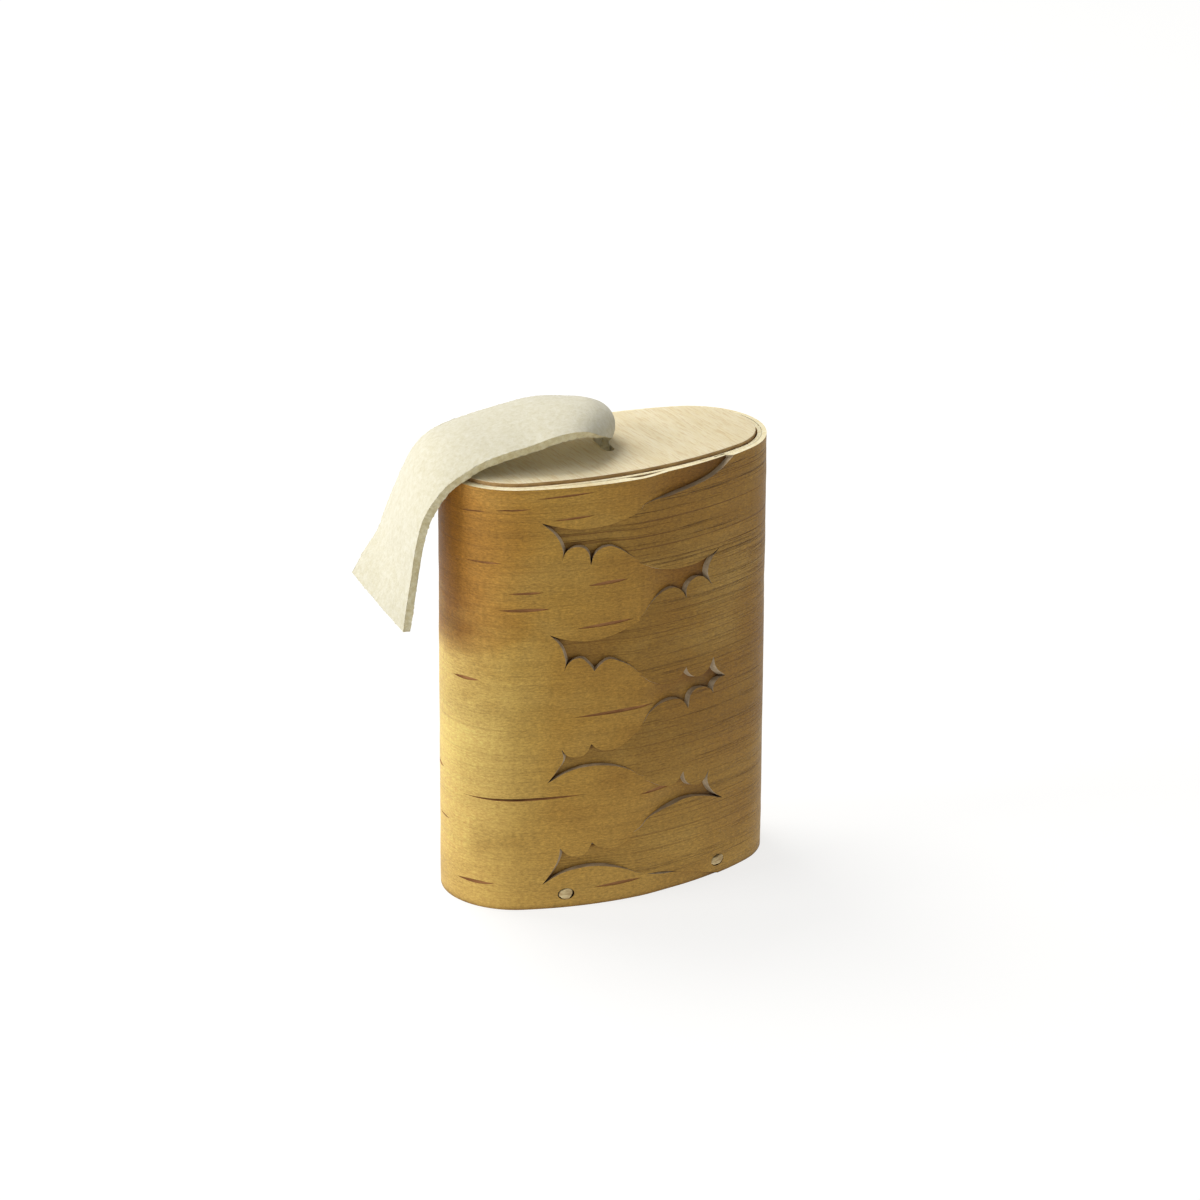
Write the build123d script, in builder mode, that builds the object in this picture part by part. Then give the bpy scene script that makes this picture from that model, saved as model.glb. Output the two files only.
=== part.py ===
import os
from math import asin, cos, radians, sin

from build123d import *

os.makedirs("parts", exist_ok=True)

# ---- driving dimensions, mm ----
length = 94.0  # across the long axis, over the bark
width = 48.8  # across the short axis, where the bark is one layer thick
height = 120.0  # from the table to the rim
side_radius = 110.0  # bow of the two long sides
bark = 1.3  # thickness of the outer sheet
lap_gap = 0.1  # air between the two levels of the lapped sheet
liner_wall = 1.3  # thickness of the inner tube
base_thickness = 8.0

# seam in the front
seam_x = -2.8  # centreline of the seam
seam_head = 8.6  # rim to the highest crossing
seam_foot = 6.5  # table to the lowest crossing
cut_slit = 0.1  # half the slit between two sheets where they cross
wander = (0.0, 0.2, -0.8, -1.8, -2.3, -1.3, -1.9, 0.0)  # the hand-cut crossings stray this far
root_half = 1.0  # half the length over which a tongue changes level
window_reach = 26.5  # seam centreline to the outer tip of a window
window_waist = 22.3  # seam centreline to the inner tip of a window
window_cusp = 14.0  # seam centreline to the cusp between the two scallops
tongue_lap = 2.6  # how far a hidden tongue reaches past its window
head_reach = 31.5  # seam centreline to where the top edge of the sheet meets the rim
foot_reach = 28.5  # seam centreline to where its lowest edge meets the table

# pegs
peg_width = 4.1
peg_tall = 2.8
peg_length = 12.0
peg_proud = 0.25  # how far a head stands out of the bark
peg_spread = 46.8  # between the two pegs on one side
peg_height = 3.9  # centre of the peg above the table

# lid
lid_thickness = 12.0
lid_proud = 0.9  # how far the lid stands out of the rim
lid_clearance = 0.3
lid_round = 0.8

# strap
strap_thickness = 2.3
strap_width = 30.0
strap_turn = 9.0  # degrees that the strap points away from the long axis
neck_width = 8.0
neck_clearance = 0.35
neck_length = 5.5  # below the lid
hinge_lift = 2.5  # flexing line of the strap above the lid
hinge_gap = 0.15
widening = 12.0  # distance over which the neck opens to the full width
toggle_diameter = 3.0
toggle_length = 24.0
drawn_half = 47.0  # half the caddy's length that the strap's path was drawn over
tail_slant = 6.0  # how much higher the far corner of the strap's end is

# ---- values that follow ----
half_length = length / 2
half_width = width / 2
end_radius = (2 * side_radius * half_width - half_length**2 - half_width**2) / (2 * (side_radius - half_length))
lap_lift = bark + lap_gap  # the front stands out by this over the double layer
lid_top = height + lid_proud
lid_under = lid_top - lid_thickness
hinge_height = lid_top + hinge_lift
crossing_pitch = (height - seam_head - seam_foot) / (len(wander) - 1)
crossings = [height - seam_head - i * crossing_pitch + stray for i, stray in enumerate(wander)]


def bow_radius(long_half, short_half, corner):
    """Radius of the long side that runs smoothly into end arcs of the radius corner."""
    return (long_half**2 + short_half**2 - 2 * long_half * corner) / (2 * (short_half - corner))


def oval(inset=0.0, lift=0.0):
    """Oval of four tangent arcs, inset from the bark's outer face. The lift pushes the front out."""
    long_half = half_length - inset
    corner = end_radius - inset
    front, back = half_width + lift - inset, half_width - inset

    def joint(short_half):
        bow = bow_radius(long_half, short_half, corner)
        share = corner / (bow - corner)
        return (long_half - corner) * (1 + share), (bow - short_half) * share

    front_x, front_y = joint(front)
    back_x, back_y = joint(back)
    with BuildSketch() as outline:
        with BuildLine():
            ThreePointArc((-front_x, -front_y), (0, -front), (front_x, -front_y))
            ThreePointArc((front_x, -front_y), (long_half, 0), (back_x, back_y))
            ThreePointArc((back_x, back_y), (0, back), (-back_x, back_y))
            ThreePointArc((-back_x, back_y), (-long_half, 0), (-front_x, -front_y))
        make_face()
    return outline.sketch


def window(side, smooth, scalloped):
    """Opening in the upper sheet: a smooth edge, an end and an edge of two scallops."""
    tall = smooth - scalloped  # negative where the scallops are above

    def at(reach, level, inward=0.0):
        return seam_x + side * reach, level + inward * tall

    past = cut_slit / abs(tall)  # the two columns of openings just run into each other
    root_smooth, root_scalloped = at(-cut_slit, smooth, past), at(-cut_slit, scalloped, -past)
    outer_tip, inner_tip = at(window_reach, smooth, -0.08), at(window_waist, scalloped, 0.18)
    cusp = at(window_cusp, scalloped, 0.18)
    with BuildSketch() as opening:
        with BuildLine():
            ThreePointArc(root_smooth, at(window_reach / 2, smooth, -0.26), outer_tip)
            ThreePointArc(outer_tip, at(window_waist + 1, smooth, -0.5), inner_tip)
            Bezier(inner_tip, at(window_waist - 1.8, scalloped, 0.52), at(window_cusp + 0.4, scalloped, 0.5), cusp)
            ThreePointArc(cusp, at(window_cusp * 0.62, scalloped, 0.35), root_scalloped)
            Line(root_scalloped, root_smooth)
        make_face()
    return opening.sketch


def middle_window(upper, lower):
    """The middle opening of the right-hand column: scalloped above and below, with a pointed end."""
    tall = upper - lower
    point = (seam_x + window_reach + 2.5, (upper + lower) / 2)
    roots = (seam_x - cut_slit, upper + cut_slit), (seam_x - cut_slit, lower - cut_slit)
    with BuildSketch() as opening:
        with BuildLine():
            for root, edge, inward in ((roots[0], upper, -tall), (roots[1], lower, tall)):
                cusp = (seam_x + window_cusp + 1, edge + inward * 0.1)
                tip = (seam_x + window_waist + 2, edge + inward * 0.1)
                ThreePointArc(root, (seam_x + window_cusp * 0.6, edge + inward * 0.31), cusp)
                ThreePointArc(cusp, ((cusp[0] + tip[0]) / 2, edge + inward * 0.34), tip)
                ThreePointArc(tip, (tip[0] + 1.3, edge + inward * 0.29), point)
            Line(*roots)
        make_face()
    return opening.sketch


def tongue(side, upper, lower):
    """Hidden outline of a tongue, from its root at the crossing to its wide end."""
    root_low, root_high = lower + cut_slit, upper - cut_slit
    with BuildSketch() as outline:
        with BuildLine():
            Polyline(
                (seam_x - side * root_half, root_low),
                (seam_x - side * root_half, root_high),
                (seam_x + side * root_half, root_high),
                (seam_x + side * (window_reach + tongue_lap), upper + tongue_lap / 2),
                (seam_x + side * (window_reach + tongue_lap), lower - tongue_lap / 2),
                (seam_x + side * root_half, root_low),
                close=True,
            )
        make_face()
    return outline.sketch


def edge_strip(reach, crossing, border):
    """Opening past the highest or lowest crossing, which the edge of the sheet curves away from."""
    bulge = crossing + (border - crossing) * 0.36
    past = border + (1 if border > crossing else -1)
    with BuildSketch() as opening:
        with BuildLine():
            start = (seam_x - cut_slit, crossing)
            tip = (seam_x + reach, border)
            ThreePointArc(start, (seam_x + reach * 0.5, bulge), tip)
            Polyline(tip, (seam_x + reach, past), (seam_x - cut_slit, past), start)
        make_face()
    return opening.sketch


left_windows = [(crossings[0], crossings[1]), (crossings[2], crossings[3])]
left_windows_flipped = [(crossings[5], crossings[4]), (crossings[7], crossings[6])]

# ---- inner tube of bark ----
with BuildPart() as bark_liner:
    add(oval(bark))
    extrude(amount=height)
    add(oval(bark + liner_wall))
    extrude(amount=height, mode=Mode.SUBTRACT)

# ---- outer sheet: upper level all round, with windows over the tongues ----
with BuildPart() as bark_wrap:
    add(oval(0, lap_lift))
    extrude(amount=height)
    add(oval(bark, lap_lift))
    extrude(amount=height, mode=Mode.SUBTRACT)
    with BuildSketch(Plane.XZ):
        for smooth, scalloped in left_windows + left_windows_flipped:
            add(window(-1, smooth, scalloped))
        add(window(1, crossings[1], crossings[2]))
        add(middle_window(crossings[3], crossings[4]))
        add(window(1, crossings[6], crossings[5]))
        add(edge_strip(head_reach, crossings[0], height))
        add(edge_strip(foot_reach, crossings[7], 0.0))
    extrude(amount=width, mode=Mode.SUBTRACT)

# ---- outer sheet: lower level, the tongues that lie under the other end ----
with BuildPart() as tongues:
    add(oval(bark + lap_gap, lap_lift))
    extrude(amount=height)
    add(oval(bark))
    extrude(amount=height, mode=Mode.SUBTRACT)
    with BuildSketch(Plane.XZ):
        for upper, lower in zip(crossings[0:7:2], crossings[1:8:2]):
            add(tongue(-1, upper, lower))
        for upper, lower in zip(crossings[1:6:2], crossings[2:7:2]):
            add(tongue(1, upper, lower))
        add(tongue(1, height + cut_slit + tongue_lap, crossings[0]))
        add(tongue(1, crossings[7], -cut_slit - tongue_lap))
    extrude(amount=width, mode=Mode.INTERSECT)

with BuildPart() as tongue_roots:
    add(oval(bark / 2, lap_lift))
    extrude(amount=height)
    add(oval(bark))
    extrude(amount=height, mode=Mode.SUBTRACT)
    with BuildSketch(Plane.XZ):
        for upper, lower in zip(crossings[0:7:2], crossings[1:8:2]):
            with Locations((seam_x + root_half / 2 + cut_slit / 2, (upper + lower) / 2)):
                Rectangle(root_half - cut_slit, upper - lower - 2 * cut_slit)
        levels = [height] + crossings + [0.0]
        for upper, lower in zip(levels[0::2], levels[1::2]):
            with Locations((seam_x - root_half / 2 - cut_slit / 2, (upper + lower) / 2)):
                Rectangle(root_half - cut_slit, upper - lower - 2 * cut_slit)
    extrude(amount=width, mode=Mode.INTERSECT)

with bark_wrap:
    add(tongues.part)
    add(tongue_roots.part)

# ---- base ----
with BuildPart() as base_board:
    add(oval(bark + liner_wall))
    extrude(amount=base_thickness)


# ---- pegs, square to the wall ----
def peg_plane(x, short_half, facing):
    """Plane on the wall's face at x, looking straight out of the front or the back."""
    bow = bow_radius(half_length, short_half, end_radius)
    turn = asin(x / bow)
    y = short_half - bow + bow * cos(turn)
    return Plane(
        origin=(x, facing * y, peg_height),
        x_dir=(cos(turn), -facing * sin(turn), 0),
        z_dir=(sin(turn), facing * cos(turn), 0),
    )


def make_peg(face):
    with BuildPart() as peg:
        with BuildSketch(face.offset(peg_proud)):
            Ellipse(peg_width / 2, peg_tall / 2)
        extrude(amount=-peg_length - peg_proud)
    return peg


pegs = {}
for row, short_half, facing in (("front", half_width + lap_lift, -1), ("back", half_width, 1)):
    for hand, x in (("left", -peg_spread / 2), ("right", peg_spread / 2)):
        pegs[f"base_peg_{row}_{hand}"] = make_peg(peg_plane(x, short_half, facing))

for pegged in (bark_wrap, bark_liner, base_board):
    with pegged:
        for peg in pegs.values():
            add(peg.part, mode=Mode.SUBTRACT)

# ---- lid ----
heading = radians(strap_turn)
strap_plane = Plane(  # x runs along the strap as it lies, y is up, z is across it to the back
    origin=(0, 0, 0),
    x_dir=(-cos(heading), sin(heading), 0),
    z_dir=(sin(heading), cos(heading), 0),
)
lid_plane = Plane(origin=(0, 0, lid_top), x_dir=strap_plane.x_dir, z_dir=(0, 0, 1))

with BuildPart() as lid_board:
    with BuildSketch(Plane.XY.offset(lid_under)):
        add(oval(bark + liner_wall + lid_clearance))
    extrude(amount=lid_thickness)
    fillet(lid_board.faces().sort_by(Axis.Z)[-1].edges(), radius=lid_round)
    with BuildSketch(lid_plane):
        SlotOverall(neck_width + 2 * neck_clearance + strap_thickness, strap_thickness + 2 * neck_clearance, rotation=90)
    extrude(amount=-lid_thickness, mode=Mode.SUBTRACT)

# ---- strap ----
neck_foot = lid_under - neck_length
toggle_height = lid_under - toggle_diameter / 2
neck_head = hinge_height - strap_thickness / 2 - hinge_gap

with BuildPart() as strap_neck:
    with BuildSketch(Plane(origin=(0, 0, neck_foot), x_dir=strap_plane.x_dir, z_dir=(0, 0, 1))):
        Rectangle(strap_thickness, neck_width)
    extrude(amount=neck_head - neck_foot)
    with BuildSketch(Plane(origin=(0, 0, toggle_height), x_dir=-strap_plane.z_dir, z_dir=strap_plane.x_dir)):
        Circle(toggle_diameter / 2)
    extrude(amount=strap_thickness, both=True, mode=Mode.SUBTRACT)

with BuildPart() as strap_toggle:
    with BuildSketch(Plane(origin=(0, 0, toggle_height), x_dir=-strap_plane.z_dir, z_dir=strap_plane.x_dir)):
        Circle(toggle_diameter / 2)
    extrude(amount=toggle_length / 2, both=True)
    chamfer(strap_toggle.edges(), length=0.3)

drop = half_length - drawn_half  # a longer caddy has a longer reach to its rim
with BuildPart() as strap_tail:
    with BuildLine(strap_plane) as run:
        FilletPolyline(
            (0, hinge_height),
            (-2.6, lid_top + 11.0),
            (12, lid_top + 10.4),
            (46.0 + drop, lid_top + 5.0),
            (55.0 + drop, lid_top - 13.0),
            (61.0 + drop, lid_top - 39.5),
            radius=(3.6, 30, 11, 40),
        )
    with BuildSketch(Plane(origin=run.line @ 0, x_dir=strap_plane.z_dir, z_dir=run.line % 0)):
        Rectangle(strap_width, strap_thickness)
    sweep()
    # the plan of the strap: narrow at the neck, then full width, with a slanted end
    with BuildSketch(Plane(origin=(0, 0, 0), x_dir=strap_plane.x_dir, z_dir=(0, 0, 1))):
        with BuildLine():
            Polyline(
                (-strap_width, -neck_width / 2),
                (widening * 0.12, -neck_width / 2),
                (widening, -strap_width / 2),
                (length, -strap_width / 2),
                (length, strap_width / 2),
                (widening, strap_width / 2),
                (widening * 0.12, neck_width / 2),
                (-strap_width, neck_width / 2),
                close=True,
            )
        make_face()
    extrude(amount=2 * height, mode=Mode.INTERSECT)
    # the root turns about the line where the strap flexes
    with BuildSketch(strap_plane.offset(-neck_width / 2)):
        with Locations((0, hinge_height)):
            Circle(strap_thickness / 2)
    extrude(amount=neck_width)
    # the far corner of the end is the higher one
    end_plane = Plane(origin=(0, 0, 0), x_dir=-strap_plane.z_dir, z_dir=strap_plane.x_dir)
    end_low = (run.line @ 1).Z
    with BuildSketch(end_plane.offset(half_length)):
        with BuildLine():
            Polyline(
                (strap_width, end_low - tail_slant / 2),
                (-strap_width, end_low - tail_slant / 2),
                (-strap_width, end_low + tail_slant * 1.5),
                close=True,
            )
        make_face()
    extrude(amount=length, mode=Mode.SUBTRACT)

# ---- write one file for each piece ----
pieces = {
    "bark_wrap": bark_wrap,
    "bark_liner": bark_liner,
    "base_board": base_board,
    **pegs,
    "lid_board": lid_board,
    "strap_neck": strap_neck,
    "strap_toggle": strap_toggle,
    "strap_tail": strap_tail,
}
for name, piece in pieces.items():
    piece.part.label = name
    export_step(piece.part, f"parts/{name}.step")
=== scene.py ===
import random
from math import asin, atan2, cos, pi, radians, sin

import bpy
from mathutils import Matrix, Quaternion, Vector, noise


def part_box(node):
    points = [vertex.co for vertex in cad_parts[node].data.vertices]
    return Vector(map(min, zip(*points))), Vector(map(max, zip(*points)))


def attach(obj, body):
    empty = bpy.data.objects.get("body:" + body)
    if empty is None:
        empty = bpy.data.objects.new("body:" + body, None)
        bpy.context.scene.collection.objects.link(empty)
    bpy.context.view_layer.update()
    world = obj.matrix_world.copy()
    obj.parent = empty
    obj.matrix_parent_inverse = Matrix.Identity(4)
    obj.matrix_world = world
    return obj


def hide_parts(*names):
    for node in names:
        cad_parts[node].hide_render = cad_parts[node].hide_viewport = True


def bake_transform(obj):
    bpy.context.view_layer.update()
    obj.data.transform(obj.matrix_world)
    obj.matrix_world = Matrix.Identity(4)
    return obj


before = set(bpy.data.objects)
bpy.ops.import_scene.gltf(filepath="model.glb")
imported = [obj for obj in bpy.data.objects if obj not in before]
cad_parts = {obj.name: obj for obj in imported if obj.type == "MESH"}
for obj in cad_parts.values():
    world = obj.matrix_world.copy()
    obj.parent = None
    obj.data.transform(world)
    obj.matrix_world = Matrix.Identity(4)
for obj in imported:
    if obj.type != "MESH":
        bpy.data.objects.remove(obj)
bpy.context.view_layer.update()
print("frame loaded")

wrapLow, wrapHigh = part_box("bark_wrap")
lidLow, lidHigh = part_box("lid_board")
oval = dict(
    half=wrapHigh.x,
    back=wrapHigh.y,  # one layer of bark
    front=-wrapLow.y,  # two layers
    bow=0.110,  # radius of the long sides
    height=wrapHigh.z,
    lap=0.0014,  # how far a tongue lies under the other sheet
)
oval["corner"] = (2 * oval["bow"] * oval["back"] - oval["half"] ** 2 - oval["back"] ** 2) / (
    2 * (oval["bow"] - oval["half"])
)


def pick(*pieces):
    if bpy.context.mode != "OBJECT":
        bpy.ops.object.mode_set(mode="OBJECT")
    bpy.ops.object.select_all(action="DESELECT")
    for piece in pieces:
        piece.select_set(True)
    bpy.context.view_layer.objects.active = pieces[0]


def addModifier(piece, kind, **settings):
    modifier = piece.modifiers.new(kind.lower(), kind)
    for setting, value in settings.items():
        setattr(modifier, setting, value)
    pick(piece)
    bpy.ops.object.modifier_apply(modifier=modifier.name)


def roundEdges(piece, width, segments, angle, **settings):
    limit = dict(limit_method="ANGLE", angle_limit=radians(angle))
    addModifier(piece, "BEVEL", width=width, segments=segments, **limit, **settings)


def smoothFaces(piece, angle):
    pick(piece)
    bpy.ops.object.shade_smooth_by_angle(angle=radians(angle))


def cutWith(piece, knife):
    addModifier(
        piece, "BOOLEAN", object=knife, operation="DIFFERENCE", solver="EXACT", material_mode="TRANSFER"
    )
    bpy.data.objects.remove(knife)


def joinPieces(name, *pieces):
    pick(*pieces)
    if len(pieces) > 1:
        bpy.ops.object.join()
    pieces[0].name = name
    return pieces[0]


def dropPiece(piece):
    bpy.data.objects.remove(piece)


def smoothStep(share):
    share = min(max(share, 0), 1)
    return share * share * (3 - 2 * share)


# the five arcs of the oval, clockwise from the middle of the front: centre, radius, start and end turn
def ovalArcs(inset, front):
    half, corner, back = oval["half"] - inset, oval["corner"] - inset, oval["back"] - inset
    front -= inset
    bows = [
        (half**2 + short**2 - 2 * half * corner) / (2 * (short - corner)) for short in (front, back)
    ]
    turns = [asin((half - corner) / (bow - corner)) for bow in bows]
    return (
        ((0, bows[0] - front), bows[0], 0, turns[0]),
        ((corner - half, 0), corner, turns[0], pi - turns[1]),
        ((0, back - bows[1]), bows[1], pi - turns[1], pi + turns[1]),
        ((half - corner, 0), corner, pi + turns[1], 2 * pi - turns[0]),
        ((0, bows[0] - front), bows[0], 2 * pi - turns[0], 2 * pi),
    )


def ovalLength(arcs):
    return sum(radius * (end - start) for centre, radius, start, end in arcs)


def ovalPoints(arcs, step=0.0005):
    points = []
    for (x, y), radius, start, end in arcs:
        count = max(int(radius * (end - start) / step), 2)
        for i in range(count):
            turn = start + (end - start) * i / count
            points.append((x - radius * sin(turn), y - radius * cos(turn)))
    return points


# a closed flat curve through the points
def drawRing(name, points):
    curve = bpy.data.curves.new(name, "CURVE")
    curve.dimensions = "3D"
    curve.twist_mode = "Z_UP"
    spline = curve.splines.new("POLY")
    spline.points.add(len(points) - 1)
    for point, (x, y) in zip(spline.points, points):
        point.co = (x, y, 0, 1)
    spline.use_cyclic_u = True
    ring = bpy.data.objects.new(name, curve)
    bpy.context.scene.collection.objects.link(ring)
    return ring


studio = dict(
    place=(-0.65797, -1.19129, 0.61682),
    turn=-28.88,
    tilt=21.66,
    roll=0.24,
    lens=163.55,
    floorSize=14,
    floorColor=(0.25, 0.25, 0.248),
    floorGlow=0.77,
    worldColor=(1.0, 0.995, 0.985),
    worldStrength=0.32,
    keyPlace=(-1.25, 0.22, 0.62),
    keySize=0.6,
    keyPower=9.5,
    topPlace=(-0.25, 0.75, 1.2),
    topSize=0.9,
    topPower=15.5,
)


def addSoftBox(name, place, size, power, aim=(0, 0, 0.07), color=(1, 0.985, 0.96)):
    bpy.ops.object.light_add(type="AREA", location=place)
    light = bpy.context.object
    light.name = name
    light.data.size = size
    light.data.energy = power
    light.data.color = color
    light.rotation_euler = (Vector(place) - Vector(aim)).to_track_quat("Z", "Y").to_euler()
    return light


def setStudio():
    scene = bpy.context.scene
    scene.view_settings.view_transform = "Standard"
    bpy.ops.object.camera_add(location=studio["place"])
    camera = bpy.context.object
    camera.data.lens = studio["lens"]
    camera.data.sensor_width = 36
    camera.rotation_mode = "QUATERNION"
    camera.rotation_quaternion = (
        Quaternion((0, 0, 1), radians(studio["turn"]))
        @ Quaternion((1, 0, 0), radians(90 - studio["tilt"]))
        @ Quaternion((0, 0, 1), radians(studio["roll"]))
    )
    scene.camera = camera

    bpy.ops.object.select_all(action="DESELECT")
    bpy.ops.mesh.primitive_plane_add(size=studio["floorSize"])
    floor = bpy.context.object
    floor.name = "studioFloor"
    floorPaint = bpy.data.materials.new("floorPaint")
    floorPaint.use_nodes = True
    shader = floorPaint.node_tree.nodes["Principled BSDF"]
    shader.inputs["Base Color"].default_value = (*studio["floorColor"], 1)
    shader.inputs["Roughness"].default_value = 0.9
    shader.inputs["Emission Color"].default_value = (1, 1, 0.995, 1)
    shader.inputs["Emission Strength"].default_value = studio["floorGlow"]
    floor.data.materials.append(floorPaint)

    world = bpy.data.worlds.new("studioLight")
    scene.world = world
    world.use_nodes = True
    glow = world.node_tree.nodes["Background"]
    glow.inputs["Color"].default_value = (*studio["worldColor"], 1)
    glow.inputs["Strength"].default_value = studio["worldStrength"]
    addSoftBox("keyLight", studio["keyPlace"], studio["keySize"], studio["keyPower"])
    addSoftBox("topLight", studio["topPlace"], studio["topSize"], studio["topPower"])


setStudio()
print("studio set")

# a colour given as it looks on a screen, 0 to 255, as the shader wants it
def tone(red, green, blue):
    linear = [((c / 255 + 0.055) / 1.055) ** 2.4 if c > 10 else c / 3295 for c in (red, green, blue)]
    return (*linear, 1)


def startFinish(name, roughness=0.6, **shaderSettings):
    finish = bpy.data.materials.new(name)
    finish.use_nodes = True
    shader = finish.node_tree.nodes["Principled BSDF"]
    shader.inputs["Roughness"].default_value = roughness
    for socket, value in shaderSettings.items():
        shader.inputs[socket.replace("_", " ")].default_value = value
    return finish, finish.node_tree, shader


# adds a node; links maps its input sockets to other sockets or to plain values
def addNode(tree, kind, links=None, **settings):
    node = tree.nodes.new("ShaderNode" + kind)
    for setting, value in settings.items():
        setattr(node, setting, value)
    for socket, source in (links or {}).items():
        if isinstance(source, bpy.types.NodeSocket):
            tree.links.new(source, node.inputs[socket])
        else:
            node.inputs[socket].default_value = source
    return node


# noise stretched over a piece's flat map, or over another coordinate, with scale in waves a metre
def sheetPattern(tree, scale, detail=3, roughness=0.6, distortion=0.0, place=None):
    if place is None:
        place = addNode(tree, "UVMap", uv_map="flat").outputs[0]
    stretched = addNode(tree, "Mapping", {"Vector": place, "Scale": scale})
    return addNode(
        tree,
        "TexNoise",
        {
            "Vector": stretched.outputs[0],
            "Scale": 1.0,
            "Detail": detail,
            "Roughness": roughness,
            "Distortion": distortion,
        },
        noise_dimensions="3D",
    ).outputs[0]


def ramp(tree, source, stops, interpolation="LINEAR"):
    node = addNode(tree, "ValToRGB", {0: source})
    node.color_ramp.interpolation = interpolation
    elements = node.color_ramp.elements
    while len(elements) < len(stops):
        elements.new(0.5)
    for element, (position, color) in zip(elements, stops):
        element.position = position
        element.color = color if isinstance(color, tuple) else (color, color, color, 1)
    return node.outputs[0]


def mixColor(tree, kind, share, under, over):
    node = addNode(tree, "Mix", data_type="RGBA", blend_type=kind)
    for socket, source in ((node.inputs[0], share), (node.inputs[6], under), (node.inputs[7], over)):
        if isinstance(source, bpy.types.NodeSocket):
            tree.links.new(source, socket)
        else:
            socket.default_value = source
    return node.outputs[2]


def maths(tree, operation, first, second):
    return addNode(tree, "Math", {0: first, 1: second}, operation=operation).outputs[0]


def addBump(tree, shader, height, strength, depth):
    bump = addNode(tree, "Bump", {"Height": height, "Strength": strength, "Distance": depth})
    tree.links.new(bump.outputs[0], shader.inputs["Normal"])


barkTones = dict(
    # shadedTongueTip and tongue: the left tongue, partly darker bark and partly painted shade where it lies
    # sunk in the openings
    shadedTongueTip=tone(100, 62, 12),
    tongue=tone(142, 100, 36),
    leftEnd=tone(172, 130, 54),
    leftSide=tone(180, 140, 60),
    # corner: lighter where the oval turns at the left end, partly paler bark and partly painted light from
    # the left lamp
    corner=tone(216, 184, 106),
    back=tone(184, 146, 76),
    rightSide=tone(150, 110, 40),
    rightEnd=tone(152, 116, 50),
    dark=tone(134, 88, 22),
    pale=tone(188, 154, 82),
    # painted strap shadow and painted lamp light on the left end, each over a bark of its own colour
    warmStrapShadow=tone(166, 102, 18),
    strawLampLight=tone(234, 210, 124),
    foot=tone(204, 162, 80),  # lighter towards the foot
    split=tone(104, 68, 28),
    crack=tone(74, 46, 16),
)


# painted shade: darkens the colour where two surfaces meet, in place of the deep shade in those crevices
def paintCornerShade(tree, color, dark, distance=0.0016, low=0.30, high=0.78):
    closeness = addNode(tree, "AmbientOcclusion", {"Distance": distance}, samples=6).outputs["AO"]
    shade = ramp(tree, closeness, [(low, dark), (high, (1, 1, 1, 1))])
    return mixColor(tree, "MULTIPLY", 1.0, color, shade)


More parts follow.
